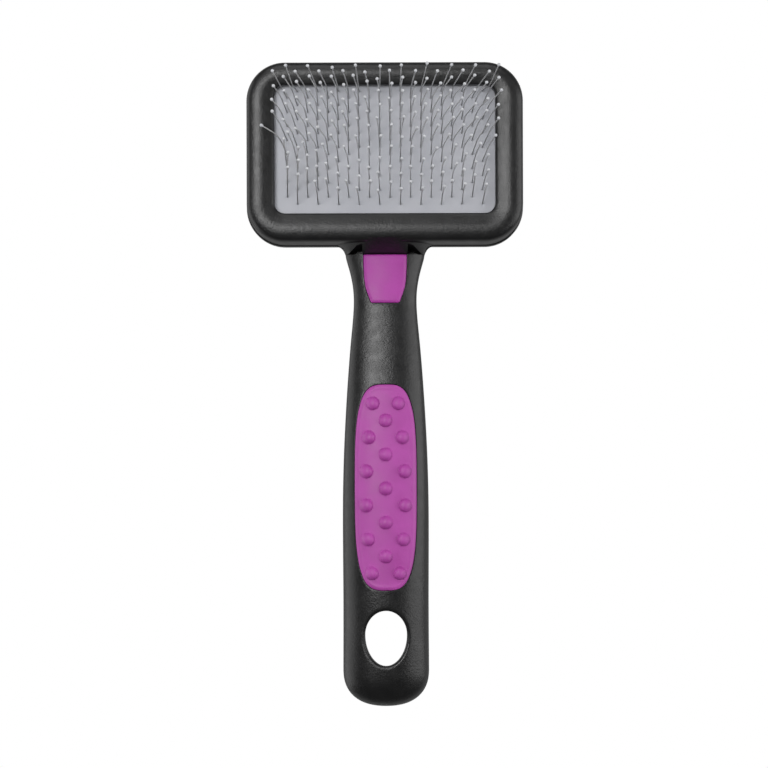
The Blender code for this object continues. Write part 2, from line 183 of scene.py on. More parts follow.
def shaded(mesh, degrees=32.0):
    for p in mesh.polygons:
        p.use_smooth = True
    mesh.set_sharp_from_angle(angle=math.radians(degrees))
    return mesh


def section_loop(y, side, steps=72):
    """The closed section of one handle shell, with a small round where it meets the other shell."""
    w, (wall, h, p) = float(half_width(y)), dome(y, side)
    low = max(0.0, min(0.5, h * 0.4) - wall)
    first = math.asin(min(1.0, (low / h) ** (p / 2)))
    angles = np.linspace(first, math.pi - first, steps + 1)
    # closer points near the parting plane
    angles = angles - 0.12 * np.sin(2 * math.pi * (angles - first) / (math.pi - 2 * first))
    x = w * np.sign(np.cos(angles)) * np.abs(np.cos(angles)) ** (2 / p)
    z = wall + h * np.sin(angles) ** (2 / p)
    low = min(0.5, h * 0.4)
    r = min(0.28, w * 0.2)
    right = [(w - 1.4 * r, low * 0.3), (w - 0.5 * r, low * 0.42), (w - 0.05 * r, low * 0.7)]
    left = [(-a, b) for a, b in right[::-1]]
    points = right + list(zip(x, z)) + left
    return [(a, y, PART + side * b) for a, b in points]


def shell(start, side):
    ys = np.concatenate([np.arange(start, END, -0.8), END - 10.97 * np.sin(np.linspace(0, math.pi / 2, 26))])
    if start > 39:
        ys = np.concatenate([np.arange(start, 38.0, -0.2), np.arange(38.0, END, -0.8), END - 10.97 * np.sin(np.linspace(0, math.pi / 2, 26))])
    loops = [section_loop(y, side) for y in ys]
    count = min(len(loop) for loop in loops)
    assert all(len(loop) == count for loop in loops), sorted({len(loop) for loop in loops})
    return closed_loft("shell", loops)


# ---- outlines -----------------------------------------------------------------------------------------
def superoval(a, b, n, count):
    t = np.linspace(0, 2 * math.pi, count, endpoint=False)
    c, s = np.cos(t), np.sin(t)
    pts = np.stack([a * np.sign(c) * np.abs(c) ** (2 / n), b * np.sign(s) * np.abs(s) ** (2 / n)], 1)
    return resampled(pts, count)


def resampled(pts, count):
    """Points spaced evenly round a closed outline."""
    loop = np.vstack([pts, pts[:1]])
    length = np.concatenate([[0], np.cumsum(np.linalg.norm(np.diff(loop, axis=0), axis=1))])
    at = np.linspace(0, length[-1], count, endpoint=False)
    return np.stack([np.interp(at, length, loop[:, 0]), np.interp(at, length, loop[:, 1])], 1)


def grown(pts, distance):
    """The outline moved outward along its normals."""
    ahead, behind = np.roll(pts, -1, 0), np.roll(pts, 1, 0)
    tangent = ahead - behind
    tangent /= np.linalg.norm(tangent, axis=1)[:, None]
    return pts + np.stack([tangent[:, 1], -tangent[:, 0]], 1) * distance


def surface_cutter(outline, floor, profile, side=1, draft=None):
    """A pocket tool: straight up from floor, then flaring over the skin by (growth, height over the skin) steps."""
    start = np.column_stack([outline, np.full(len(outline), floor)])
    rings = [draft(start) if draft else start]
    for growth, over in profile:
        pts = grown(outline, growth)
        z = surface(pts[:, 0], pts[:, 1], side) + side * over
        ring = np.column_stack([pts, z])
        rings.append(draft(ring) if draft else ring)
    top = grown(outline, profile[-1][0])
    rings.append(np.column_stack([top, np.full(len(top), PART + side * 14.0)]))
    return closed_loft("tool", rings)


GRIP = (9.07, 30.0, 3.4, -30.1)
NECK_PLAN = [(38.4, 6.44), (34.5, 6.38), (30.5, 6.17), (28.3, 5.8), (26.2, 5.12), (24.6, 4.5)]
NECK_LOW = 23.75


def neck_half(y):
    return np.interp(y, [r[0] for r in NECK_PLAN[::-1]], [r[1] for r in NECK_PLAN[::-1]])


def neck_outline(top, count=220):
    pts = [(6.44, top)] + [(w, y) for y, w in NECK_PLAN if y < top]
    pts += [(4.42 - 0.7 * (1 - math.cos(a)), 24.5 - 0.75 * math.sin(a)) for a in np.linspace(0.1, math.pi / 2, 7)]
    pts += [(-x, y) for x, y in pts[::-1]]
    return resampled(np.array(pts)[::-1], count)


def hole_outline(count=160):
    """The hanging hole: an oval, a little blunter towards the head."""
    t = np.linspace(0, 2 * math.pi, count, endpoint=False)
    x = 6.15 * np.cos(t)
    y = 8.0 * np.sin(t) + 0.3 * np.cos(t) ** 2
    return resampled(np.stack([x, y - 74.23], 1), count)


def hole_draft(ring):
    """The hole widens towards the back of the handle, most at its butt end."""
    ring = ring.copy()
    share = np.clip((-70.6 - ring[:, 1]) / 12.0, 0.0, 1.0)
    ring[:, 1] -= 0.148 * share * np.maximum(15.6 - ring[:, 2], 0.0)
    return ring


# ---- materials ----------------------------------------------------------------------------------------
def material(name, colour, roughness, metallic=0.0):
    made = bpy.data.materials.new(name)
    made.use_nodes = True
    shader = made.node_tree.nodes["Principled BSDF"]
    shader.inputs["Base Color"].default_value = (*colour, 1.0)
    shader.inputs["Roughness"].default_value = roughness
    shader.inputs["Metallic"].default_value = metallic
    return made, made.node_tree, shader


def node(tree, kind, **values):
    made = tree.nodes.new(kind)
    for key, value in values.items():
        if key in made.inputs:
            made.inputs[key].default_value = value
        else:
            setattr(made, key, value)
    return made


def noise(tree, scale, detail=2.0, roughness=0.5, stretch=None):
    where = node(tree, "ShaderNodeTexCoord")
    made = node(tree, "ShaderNodeTexNoise", Scale=scale, Detail=detail, Roughness=roughness)
    if stretch:
        mapping = node(tree, "ShaderNodeMapping")
        mapping.inputs["Scale"].default_value = stretch
        tree.links.new(where.outputs["Object"], mapping.inputs["Vector"])
        tree.links.new(mapping.outputs["Vector"], made.inputs["Vector"])
    else:
        tree.links.new(where.outputs["Object"], made.inputs["Vector"])
    return made


def ranged(tree, source, low, high, start=0.3, end=0.7):
    made = node(tree, "ShaderNodeMapRange")
    made.inputs["From Min"].default_value = start
    made.inputs["From Max"].default_value = end
    made.inputs["To Min"].default_value = low
    made.inputs["To Max"].default_value = high
    tree.links.new(source, made.inputs["Value"])
    return made.outputs["Result"]


def tinted(tree, source, dark, light, start=0.3, end=0.7):
    ramp = node(tree, "ShaderNodeValToRGB")
    ramp.color_ramp.elements[0].position = start
    ramp.color_ramp.elements[0].color = (*dark, 1)
    ramp.color_ramp.elements[1].position = end
    ramp.color_ramp.elements[1].color = (*light, 1)
    tree.links.new(source, ramp.inputs["Fac"])
    return ramp.outputs["Color"]


def bumped(tree, shader, sources, distance):
    """Adds up (height, weight) pairs into one bump."""
    total = None
    for source, weight in sources:
        scaled = node(tree, "ShaderNodeMath", operation="MULTIPLY")
        scaled.inputs[1].default_value = weight
        tree.links.new(source, scaled.inputs[0])
        if total is None:
            total = scaled.outputs[0]
        else:
            both = node(tree, "ShaderNodeMath", operation="ADD")
            tree.links.new(total, both.inputs[0])
            tree.links.new(scaled.outputs[0], both.inputs[1])
            total = both.outputs[0]
    bump = node(tree, "ShaderNodeBump", Strength=1.0, Distance=distance)
    tree.links.new(total, bump.inputs["Height"])
    tree.links.new(bump.outputs["Normal"], shader.inputs["Normal"])


def black_plastic():
    made, tree, shader = material("black_plastic", (0.006, 0.006, 0.0062), 0.38)
    grain = noise(tree, 1700.0, 3.0, 0.6)
    mottle = noise(tree, 120.0, 4.0, 0.6)
    rubbed = noise(tree, 340.0, 3.0, 0.6)
    tree.links.new(tinted(tree, mottle.outputs["Fac"], (0.005, 0.005, 0.0052), (0.0078, 0.0078, 0.0082)), shader.inputs["Base Color"])
    tree.links.new(ranged(tree, rubbed.outputs["Fac"], 0.30, 0.40), shader.inputs["Roughness"])
    smudge = noise(tree, 800.0, 3.0, 0.65)
    bumped(tree, shader, [(grain.outputs["Fac"], 1.4), (smudge.outputs["Fac"], 1.3), (rubbed.outputs["Fac"], 0.6), (mottle.outputs["Fac"], 0.9)], 0.00004)
    return made


def purple_rubber(name, deep, green):
    made, tree, shader = material(name, (0.43, 0.075, 0.36), 0.48)
    fine = noise(tree, 2200.0, 3.0, 0.6)
    broad = noise(tree, 160.0, 3.0, 0.5)
    tree.links.new(tinted(tree, broad.outputs["Fac"], (0.355 * deep, 0.048 * green, 0.298 * deep), (0.405 * deep, 0.060 * green, 0.345 * deep)), shader.inputs["Base Color"])
    tree.links.new(ranged(tree, broad.outputs["Fac"], 0.46, 0.6), shader.inputs["Roughness"])
    shader.inputs["Subsurface Weight"].default_value = 0.08
    shader.inputs["Subsurface Radius"].default_value = (0.0012, 0.0004, 0.001)
    shader.inputs["Subsurface Scale"].default_value = 1.0
    bumped(tree, shader, [(fine.outputs["Fac"], 1.0)], 0.00003)
    return made


def grey_pad():
    made, tree, shader = material("grey_pad", (0.43, 0.44, 0.48), 0.5)
    fine = noise(tree, 3000.0, 3.0, 0.6)
    broad = noise(tree, 60.0, 4.0, 0.6)
    tree.links.new(tinted(tree, broad.outputs["Fac"], (0.395, 0.405, 0.445), (0.465, 0.472, 0.51)), shader.inputs["Base Color"])
    tree.links.new(ranged(tree, fine.outputs["Fac"], 0.42, 0.6), shader.inputs["Roughness"])
    bumped(tree, shader, [(fine.outputs["Fac"], 0.5), (broad.outputs["Fac"], 2.0)], 0.00004)
    return made


def woven_cloth():
    made, tree, shader = material("woven_cloth", (0.5, 0.48, 0.43), 0.92)
    where = node(tree, "ShaderNodeTexCoord")
    heights = []
    for direction in ("X", "Y"):
        wave = node(tree, "ShaderNodeTexWave", Scale=380.0, Distortion=0.6, Detail=1.0)
        wave.bands_direction = direction
        tree.links.new(where.outputs["Object"], wave.inputs["Vector"])
        heights.append((wave.outputs["Fac"], 0.5))
    fuzz = noise(tree, 1500.0, 4.0, 0.7)
    tree.links.new(tinted(tree, fuzz.outputs["Fac"], (0.42, 0.40, 0.35), (0.56, 0.54, 0.49)), shader.inputs["Base Color"])
    bumped(tree, shader, heights + [(fuzz.outputs["Fac"], 0.6)], 0.0001)
    return made


def open_foam():
    made, tree, shader = material("open_foam", (0.55, 0.53, 0.47), 0.95)
    where = node(tree, "ShaderNodeTexCoord")
    cells = node(tree, "ShaderNodeTexVoronoi", Scale=1500.0)
    tree.links.new(where.outputs["Object"], cells.inputs["Vector"])
    tree.links.new(tinted(tree, cells.outputs["Distance"], (0.3, 0.28, 0.24), (0.6, 0.58, 0.52), 0.1, 0.5), shader.inputs["Base Color"])
    bumped(tree, shader, [(cells.outputs["Distance"], 1.0)], 0.0003)
    return made


def drawn_steel():
    made, tree, shader = material("drawn_steel", (0.6, 0.6, 0.6), 0.36, 1.0)
    streak = noise(tree, 900.0, 3.0, 0.6, (1.0, 1.0, 0.12))
    painted_shade_tone = tinted(tree, streak.outputs["Fac"], (0.27, 0.275, 0.28), (0.46, 0.46, 0.455))
    upper_tone = tinted(tree, streak.outputs["Fac"], (0.66, 0.665, 0.67), (0.84, 0.84, 0.835))
    # painted shade: the wires are coloured darker near the pad, standing in for the shadow and dark reflections low
    # among the wires, and lighter above
    where = node(tree, "ShaderNodeTexCoord")
    split = node(tree, "ShaderNodeSeparateXYZ")
    tree.links.new(where.outputs["Object"], split.inputs["Vector"])
    mixed = node(tree, "ShaderNodeMix", data_type="RGBA")
    tree.links.new(ranged(tree, split.outputs["Z"], 0.0, 1.0, 0.0185, 0.0245), mixed.inputs["Factor"])
    tree.links.new(painted_shade_tone, mixed.inputs[6])
    tree.links.new(upper_tone, mixed.inputs[7])
    tree.links.new(mixed.outputs[2], shader.inputs["Base Color"])
    tree.links.new(ranged(tree, streak.outputs["Fac"], 0.45, 0.6), shader.inputs["Roughness"])
    return made


def tip_plastic():
    made, tree, shader = material("tip_plastic", (0.82, 0.82, 0.84), 0.3)
    fine = noise(tree, 900.0, 2.0, 0.5)
    tree.links.new(tinted(tree, fine.outputs["Fac"], (0.5, 0.51, 0.54), (0.62, 0.63, 0.65)), shader.inputs["Base Color"])
    tree.links.new(ranged(tree, fine.outputs["Fac"], 0.24, 0.36), shader.inputs["Roughness"])
    return made


BLACK, PURPLE, NECK_PURPLE, GREY, CLOTH, FOAM, STEEL, TIP = (
    black_plastic(), purple_rubber("purple_rubber", 1.07, 1.07), purple_rubber("purple_rubber_neck", 0.99, 0.77), grey_pad(), woven_cloth(), open_foam(), drawn_steel(),
    tip_plastic()
)


def piece(name, mesh, look, slot, body, *stands_for):
    made = new_object(name, mesh)
    made.data.materials.clear()
    made.data.materials.append(look)
    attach(made, body)
    if stands_for:
        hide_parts(*stands_for)
    return made


# ---- the handle's two shells --------------------------------------------------------------------------
POCKET_EDGE = [(0.0, -0.22), (0.03, -0.11), (0.1, -0.035), (0.2, 0.005), (0.35, 0.2)]
SEAM = 0.05
grip_outline = superoval(GRIP[0], GRIP[1], GRIP[2], 360) + np.array([0.0, GRIP[3]])

front = shell(38.0, 1)
front = boolean(front, surface_cutter(grip_outline, 14.2, POCKET_EDGE), "DIFFERENCE")
front = boolean(front, surface_cutter(neck_outline(44.0), 10.4, POCKET_EDGE), "DIFFERENCE")
LIP_FRONT = [(0.0, -6.5), (0.01, -2.4), (0.05, -1.2), (0.13, -0.72), (0.26, -0.42), (0.44, -0.22), (0.68, -0.1), (0.98, -0.03), (1.35, 0.01), (1.7, 0.3)]
LIP_BACK = [(0.0, -6.6), (0.5, -5.0), (1.0, -3.4), (1.5, -2.0), (1.9, -1.1), (2.4, -0.5), (3.0, -0.14), (3.6, 0.04), (4.0, 0.3)]
front = boolean(front, surface_cutter(hole_outline(), 6.0, LIP_FRONT, 1, hole_draft), "DIFFERENCE")
piece("front_shell_moulding", shaded(front), BLACK, "black_plastic", "brush_body", "front_shell")

back = shell(43.0, -1)


# ---- head: tray and frame -----------------------------------------------------------------------------
def head_ring(distance, height, corner=22, run=14, radius=FRAME_R):
    """Points round the head's outline, moved in by distance, at a height."""
    points = []
    r = radius - distance
    for k, (sx, sy) in enumerate([(1, 1), (-1, 1), (-1, -1), (1, -1)]):
        cx, cy = sx * (HEAD_W / 2 - radius), HEAD_Y + sy * (HEAD_L / 2 - radius)
        arc = []
        for a in np.linspace(0, math.pi / 2, corner):
            angle = math.pi / 2 * k + a
            if r >= 1.2:
                arc.append((cx + r * math.cos(angle), cy + r * math.sin(angle)))
            else:
                arc.append((cx + sx * (r - 1.2) + 1.2 * math.cos(angle), cy + sy * (r - 1.2) + 1.2 * math.sin(angle)))
        if points:
            a, b = np.array(points[-1]), np.array(arc[0])
            points += [tuple(a + (b - a) * t) for t in np.linspace(0, 1, run + 1)[1:-1]]
        points += arc
    a, b = np.array(points[-1]), np.array(points[0])
    points += [tuple(a + (b - a) * t) for t in np.linspace(0, 1, run + 1)[1:-1]]
    return [(x, y, height) for x, y in points]


def smooth_profile(points, count, closed=False):
    """A Catmull-Rom curve through the points, spaced evenly."""
    p = np.array(points, float)
    if closed:
        p = np.vstack([p[-1:], p, p[:2]])
    else:
        p = np.vstack([2 * p[0] - p[1], p, 2 * p[-1] - p[-2]])
    out = []
    for i in range(1, len(p) - 2):
        for t in np.linspace(0, 1, 12, endpoint=False):
            a, b, c, d = p[i - 1], p[i], p[i + 1], p[i + 2]
            out.append(0.5 * (2 * b + (c - a) * t + (2 * a - 5 * b + 4 * c - d) * t**2 + (3 * b - a - 3 * c + d) * t**3))
    if not closed:
        out.append(p[-2])
    out = np.array(out)
    length = np.concatenate([[0], np.cumsum(np.linalg.norm(np.diff(out, axis=0), axis=1))])
    at = np.linspace(0, length[-1], count)
    return np.stack([np.interp(at, length, out[:, 0]), np.interp(at, length, out[:, 1])], 1)


tray_outside = smooth_profile([(3.6, 0.0), (2.2, 0.22), (0.95, 0.95), (0.25, 2.1), (0.0, 3.6), (0.0, 5.6)], 22)
tray_outside = np.maximum(tray_outside, 0.0)
tray_profile = [(3.6 + 9 * (1 - k / 4), 0.0) for k in range(4)] + [tuple(p) for p in tray_outside] + [
    (0.0, 7.4), (0.08, 7.75), (0.3, 7.93), (0.55, 8.0), (2.3, 8.0), (2.5, 7.9), (2.6, 7.7), (2.6, 3.4), (2.9, 3.0), (12.6, 3.0)]
back = boolean(back, closed_loft("tray", [head_ring(d, z, radius=TRAY_R) for d, z in tray_profile]), "UNION")
back = boolean(back, closed_loft("room", [head_ring(2.6, 3.6, radius=TRAY_R), head_ring(2.6, 12.0, radius=TRAY_R)]), "DIFFERENCE")
back = boolean(back, surface_cutter(hole_outline(), 10.0, LIP_BACK, -1, hole_draft), "DIFFERENCE")
# the fairing that rises from the neck to the head's frame, behind the end of the front shell
FRAME_OUTSIDE = [(0.3, 8.3), (0.36, 10.5), (0.43, 13.0), (0.52, 15.2), (0.62, 16.4), (0.73, 17.04), (0.86, 17.44), (1.0, 17.71), (1.2, 17.97), (1.4, 18.15),
                 (1.62, 18.31), (1.95, 18.475), (2.5, 18.67)]
fairing = []
for y in np.concatenate([np.linspace(38.06, 42.6, 24)]):
    t = (y - 38.06) / 4.54
    w = float(half_width(min(y, 41.25))) * (1 - 0.1 * t)
    top = 12.6 - PART + 6.6 * t**0.85
    angles = np.linspace(0, math.pi, 61)
    x = w * np.sign(np.cos(angles)) * np.abs(np.cos(angles)) ** (2 / 2.3)
    z = PART - 0.6 + (top + 0.6) * np.sin(angles) ** (2 / 2.3)
    fairing.append([(a, y, b) for a, b in zip(x, z)] + [(-w * 0.9, y, 6.2), (w * 0.9, y, 6.2)])
fairing = closed_loft("fairing", fairing)
plug = [head_ring(d - 0.04, z) for d, z in [(0.3, 7.99)] + FRAME_OUTSIDE + [(3.5, 18.8), (3.6, 26.0)]]
fairing = boolean(fairing, closed_loft("plug", plug), "DIFFERENCE")
# a hollow on each side of the fairing's middle
for side in (-1, 1):
    hollow = []
    for z in (8.4, 14.0, 21.0):
        out, deep = 9.8 + 0.42 * (z - 8.4), 39.3 + 0.2 * (z - 8.4)
        hollow.append([(side * x, y, z) for x, y in ((6.6, 37.0), (out, 37.0), (out, 38.4), (8.3, deep - 0.12), (7.0, deep), (6.6, deep))][::side])
    fairing = boolean(fairing, closed_loft("hollow", hollow), "DIFFERENCE")
back = boolean(back, fairing, "UNION")
# under each hollow a narrow pit, behind the front shell's end
for side in (-1, 1):
    pit = [[(side * x, y, z) for x, y in ((6.63, 37.05), (9.86, 37.05), (9.86, 38.45), (8.35, 39.26), (7.02, 39.38), (6.63, 39.38))][::side] for z in (4.5, 8.43)]
    back = boolean(back, closed_loft("pit", pit), "DIFFERENCE")
piece("back_shell_moulding", shaded(back), BLACK, "black_plastic", "brush_body", "back_shell")

crest = smooth_profile([(0.5, 8.42)] + FRAME_OUTSIDE + [(3.1, 18.811), (3.6, 18.886), (4.15, 18.926), (4.5, 18.93), (4.85, 18.915), (5.4, 18.857), (5.8, 18.79),
                        (6.3, 18.69), (7.0, 18.54), (7.6, 18.39), (8.1, 18.23), (8.4, 18.07), (8.58, 17.89), (8.68, 17.6), (8.7, 17.2)], 120)
frame_profile = [(1.2, 8.32)] + [tuple(p) for p in crest] + [
    (8.74, 16.0), (8.66, 15.84), (8.4, 15.8), (5.2, 15.8), (4.6, 15.3), (4.3, 14.6), (4.3, 6.4), (4.1, 6.2), (3.1, 6.2), (2.9, 6.4), (2.9, 8.3)]


def eased_in(points, d):
    """The frame's far side is a little narrower than its near side."""
    out, share = [], min(d / 8.7, 1.0)
    for x, y, z in points:
        far, near = min(max((y - HEAD_Y) / 17.0, 0.0), 1.0), min(max((HEAD_Y - y) / 17.0, 0.0), 1.0)
        out.append((x, y + far * (1.40 * share - 0.85) + near * 0.25 * share, z))
    return out


rings = [eased_in(head_ring(d, z), d) for d, z in frame_profile]
frame_mesh = closed_loft("frame", rings + [rings[0]], cap=False)
piece("head_frame_moulding", shaded(frame_mesh), BLACK, "black_plastic", "brush_body", "head_frame")


# ---- soft inserts -------------------------------------------------------------------------------------
def grid_insert(name, half_at, y_low, y_high, floor, height_at, across, along, ease=True):
    """A moulded insert: its face is a grid over the plan, with walls down to a flat floor."""
    s = np.linspace(-1, 1, across)
    t = np.linspace(0, 1, along)
    ys = y_low + (y_high - y_low) * (0.5 - 0.5 * np.cos(math.pi * t) if ease else t)
    verts, faces = [], []
    for y in ys:
        w = half_at(y)
        x = s * w
        z = height_at(x, np.full_like(x, y))
        verts += list(zip(x, np.full_like(x, y), z))
    n = across
    for j in range(along - 1):
        for i in range(n - 1):
            a = j * n + i
            faces.append((a, a + 1, a + 1 + n, a + n))
    loop = list(range(n)) + [j * n + n - 1 for j in range(1, along)] + [(along - 1) * n + i for i in range(n - 2, -1, -1)] + [j * n for j in range(along - 2, 0, -1)]
    base = len(verts)
    for k in loop:
        verts.append((verts[k][0], verts[k][1], floor))
    m = len(loop)
    for i in range(m):
        j = (i + 1) % m
        faces.append((loop[j], loop[i], base + i, base + j))
    faces.append(tuple(base + i for i in range(m))[::-1])
    mesh = mesh_from(name, np.array(verts), faces)
    bm = bmesh.new()
    bm.from_mesh(mesh)
    bmesh.ops.remove_doubles(bm, verts=bm.verts, dist=1e-6)
    bmesh.ops.recalc_face_normals(bm, faces=bm.faces)
    bm.to_mesh(mesh)
    bm.free()
    return mesh


def shoulder(d, width, height):
    """How far a rounded edge has come up at distance d from the border."""
    t = np.clip(d / width, 0, 1)
    return height * np.sqrt(np.clip(1 - (1 - t) ** 2, 0, 1))


BUMPS = []
for k in range(11):
    pair = [3.75, 4.95, 5.65, 5.7, 5.2, 4.1]
    y = -5.6 - 4.944 * k
    BUMPS += [(0.0, y)] if k % 2 else [(-pair[k // 2], y), (pair[k // 2], y)]
BUMP_R, BUMP_H = 1.94, 1.62


def grip_height(x, y):
    a, b, n, cy = GRIP[0] - SEAM, GRIP[1] - SEAM, GRIP[2], GRIP[3]
    q = np.abs(x / a) ** n + np.abs((y - cy) / b) ** n
    rho = np.maximum(q, 1e-9) ** (1 / n)
    gx = np.abs(x / a) ** (n - 1) / a * rho ** (1 - n)
    gy = np.abs((y - cy) / b) ** (n - 1) / b * rho ** (1 - n)
    d = (1 - rho) / np.maximum(np.hypot(gx, gy), 1e-6)
    z = surface(x, y) - 0.14 + shoulder(d, 0.8, 0.44)
    # a low ridge just inside the border, as on a moulded insert
    z = z + 0.1 * np.exp(-(((d - 1.0) / 0.45) ** 2))
    for bx, by in BUMPS:
        r = np.hypot(x - bx, y - by) / BUMP_R
        z = z + BUMP_H * np.clip(1 - r**2, 0, 1) ** 0.52
    return z


def grip_half(y):
    a, b, n, cy = GRIP[0] - SEAM, GRIP[1] - SEAM, GRIP[2], GRIP[3]
    return a * max(0.0, 1 - (abs(y - cy) / b) ** n) ** (1 / n)


grip = grid_insert("grip", grip_half, GRIP[3] - GRIP[1] + SEAM + 0.001, GRIP[3] + GRIP[1] - SEAM - 0.001, 14.3, grip_height, 121, 401)
piece("grip_insert_moulding", shaded(grip, 60.0), PURPLE, "purple_rubber", "brush_body", "grip_insert")


def neck_height(x, y):
    w = neck_half(y) - SEAM
    side = (w - np.abs(x)) * 0.97
    low = y - (NECK_LOW + SEAM)
    corner = np.hypot(np.maximum(0.9 - side, 0), np.maximum(0.9 - low, 0))
    d = np.minimum(np.minimum(side, low), 0.9 - corner)
    top = np.clip((37.95 - y) / 0.8, 0, 1)
    z = surface(x, y) - 0.14 + shoulder(np.maximum(d, 0), 0.8, 0.42)
    z = z + 0.1 * np.exp(-(((d - 1.0) / 0.45) ** 2))
    return z - 0.5 * (1 - np.sqrt(np.clip(1 - (1 - top) ** 2, 0, 1)))


def neck_width(y):
    w = float(neck_half(y)) - SEAM
    low = y - (NECK_LOW + SEAM)
    if low < 0.8:
        w -= 0.8 - math.sqrt(max(0.0, 0.64 - (0.8 - low) ** 2))
    return w


neck = grid_insert("neck", neck_width, NECK_LOW + SEAM + 0.001, 37.95, 10.5, neck_height, 81, 101, True)
piece("neck_insert_moulding", shaded(neck, 60.0), NECK_PURPLE, "purple_rubber", "brush_body", "neck_insert")


# ---- the pad ------------------------------------------------------------------------------------------
def row_y(row):
    return ROW_Y[0] + (ROW_Y[1] - ROW_Y[0]) * row / (ROWS - 1)


def row_columns(row):
    return [(c - (COLUMNS - 1) / 2) * PITCH for c in range(COLUMNS) if c % 2 != row % 2]


def eased(t):
    t = min(1.0, max(0.0, t))
    return t * t * (3.0 - 2.0 * t)


def lean(x, y):
    """How far a pin's tip stands off its foot: away from the handle, and outward towards the far corners."""
    u, v = x / 28.5, (y - 68.75) / 16.45
    far = eased((v + 0.58) / 0.48)
    dy = 3.4 + 3.4 * far - 1.1 * (max(0.0, v - 0.35) / 0.6) ** 2
    dy += (1.0 - far) * (4.0 * eased((-u - 0.42) / 0.5) + 1.4 * eased((u - 0.5) / 0.35))
    dx = (0.15 + 0.85 * far) * u * (3.6 if u < 0 else 4.3) + (1.0 - far) * 1.6 * eased((-u - 0.6) / 0.4)
    return dx, dy


def pad_height(x, y):
    """The face sags a little between the pins and is pulled down round each wire."""
    z = np.full_like(x, FACE)
    z -= 0.05 + 0.05 * np.sin(x * 0.23 + 1.0) * np.sin((y - 68) * 0.31)
    for row in range(ROWS):
        ry = row_y(row)
        near = np.abs(y - ry) < 1.2
        for rx in row_columns(row):
            r2 = ((x[near] - rx) ** 2 + (y[near] - ry) ** 2)
            z[near] -= 0.16 * np.exp(-r2 / 0.22)
    return z


def pad_slab(name, inset, low, height_at, step):
    """A rounded slab whose face is a fine grid."""
    hw, hl, r = HEAD_W / 2 - inset, HEAD_L / 2 - inset, 5.2
    nx, ny = int(2 * hw / step), int(2 * hl / step)
    xs, ys = np.linspace(-hw, hw, nx + 1), np.linspace(-hl, hl, ny + 1)
    gx, gy = np.meshgrid(xs, ys)
    # the square corners are drawn in to an arc
    ax, ay = np.abs(gx) - (hw - r), np.abs(gy) - (hl - r)
    far = np.hypot(np.maximum(ax, 0), np.maximum(ay, 0))
    k = np.where((ax > 0) & (ay > 0), np.maximum(ax, ay) / np.maximum(far, 1e-9), 1.0)
    px = np.where((ax > 0) & (ay > 0), np.sign(gx) * (hw - r + ax * k), gx)
    py = np.where((ax > 0) & (ay > 0), np.sign(gy) * (hl - r + ay * k), gy)
    x, y = px.ravel(), py.ravel() + HEAD_Y
    z = height_at(x, y)
    edge = np.minimum(hw - np.abs(gx), hl - np.abs(gy)).ravel()
    z = z - 0.25 * np.clip(1 - edge / 0.5, 0, 1) ** 2
    verts = list(zip(x, y, z))
    n = nx + 1
    faces = [(j * n + i, j * n + i + 1, (j + 1) * n + i + 1, (j + 1) * n + i) for j in range(ny) for i in range(nx)]
    loop = list(range(n)) + [j * n + nx for j in range(1, ny + 1)] + [ny * n + i for i in range(nx - 1, -1, -1)] + [j * n for j in range(ny - 1, 0, -1)]
    base = len(verts)
    verts += [(verts[k][0], verts[k][1], low) for k in loop]
    m = len(loop)
    faces += [(loop[(i + 1) % m], loop[i], base + i, base + (i + 1) % m) for i in range(m)]
    faces.append(tuple(base + i for i in range(m))[::-1])
    mesh = mesh_from(name, np.array(verts), faces)
    bm = bmesh.new()
    bm.from_mesh(mesh)
    bmesh.ops.remove_doubles(bm, verts=bm.verts, dist=1e-6)
    bmesh.ops.recalc_face_normals(bm, faces=bm.faces)
    bm.to_mesh(mesh)
    bm.free()
    return mesh


piece("pad_sheet_face", shaded(pad_slab("sheet", 6.6, 13.5, pad_height, 0.2)), GREY, "grey_pad", "pin_pad", "pad_sheet")


def cloth_height(x, y):
    return 12.4 - 0.04 + 0.04 * np.sin(x * 5.2) * np.sin(y * 5.2)


def foam_height(x, y):
    u, v = np.clip(np.abs(x) / 34.1, 0, 1), np.clip(np.abs(y - HEAD_Y) / 20.55, 0, 1)
    return 11.3 - 0.5 * np.maximum(u, v) ** 8


cloth = piece("backing_cloth_weave", shaded(pad_slab("cloth", 6.8, 11.6, cloth_height, 0.5)), CLOTH, "backing_cloth", "pin_pad", "backing_cloth")
foam = piece("foam_cushion_block", shaded(pad_slab("foam", 6.8, 3.3, foam_height, 0.8)), FOAM, "foam", "brush_body", "foam_cushion")
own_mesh(foam)

# ---- the pins -----------------------------------------------------------------------------------------
chance = random.Random(7)


def bent_path(points, turn, steps=5):
    """The line through the points, with each corner rounded over turn millimetres."""
    pts = [Vector(p) for p in points]
    path = [pts[0]]
    for a, b, c in zip(pts, pts[1:], pts[2:]):
        cut = min(turn, (b - a).length * 0.45, (c - b).length * 0.45)
        p, q = b + (a - b).normalized() * cut, b + (c - b).normalized() * cut
        for i in range(steps + 1):
            t = i / steps
            path.append(p * (1 - t) ** 2 + b * 2 * t * (1 - t) + q * t * t)
    path.append(pts[-1])
    return path


def tube(bm, path, radius, sides=8):
    rings = []
    across = None
    for i, p in enumerate(path):
        a, b = path[max(i - 1, 0)], path[min(i + 1, len(path) - 1)]
        way = (b - a).normalized()
        if across is None:
            across = Vector((1, 0, 0)) if abs(way.x) < 0.9 else Vector((0, 1, 0))
        across = (across - way * across.dot(way)).normalized()
        up = way.cross(across)
        rings.append([bm.verts.new((p + (across * math.cos(t) + up * math.sin(t)) * radius) * MM) for t in (2 * math.pi * k / sides for k in range(sides))])
    for near, far in zip(rings, rings[1:]):
        for k in range(sides):
            j = (k + 1) % sides
            bm.faces.new((near[k], near[j], far[j], far[k]))
    bm.faces.new(rings[0][::-1])
    bm.faces.new(rings[-1])


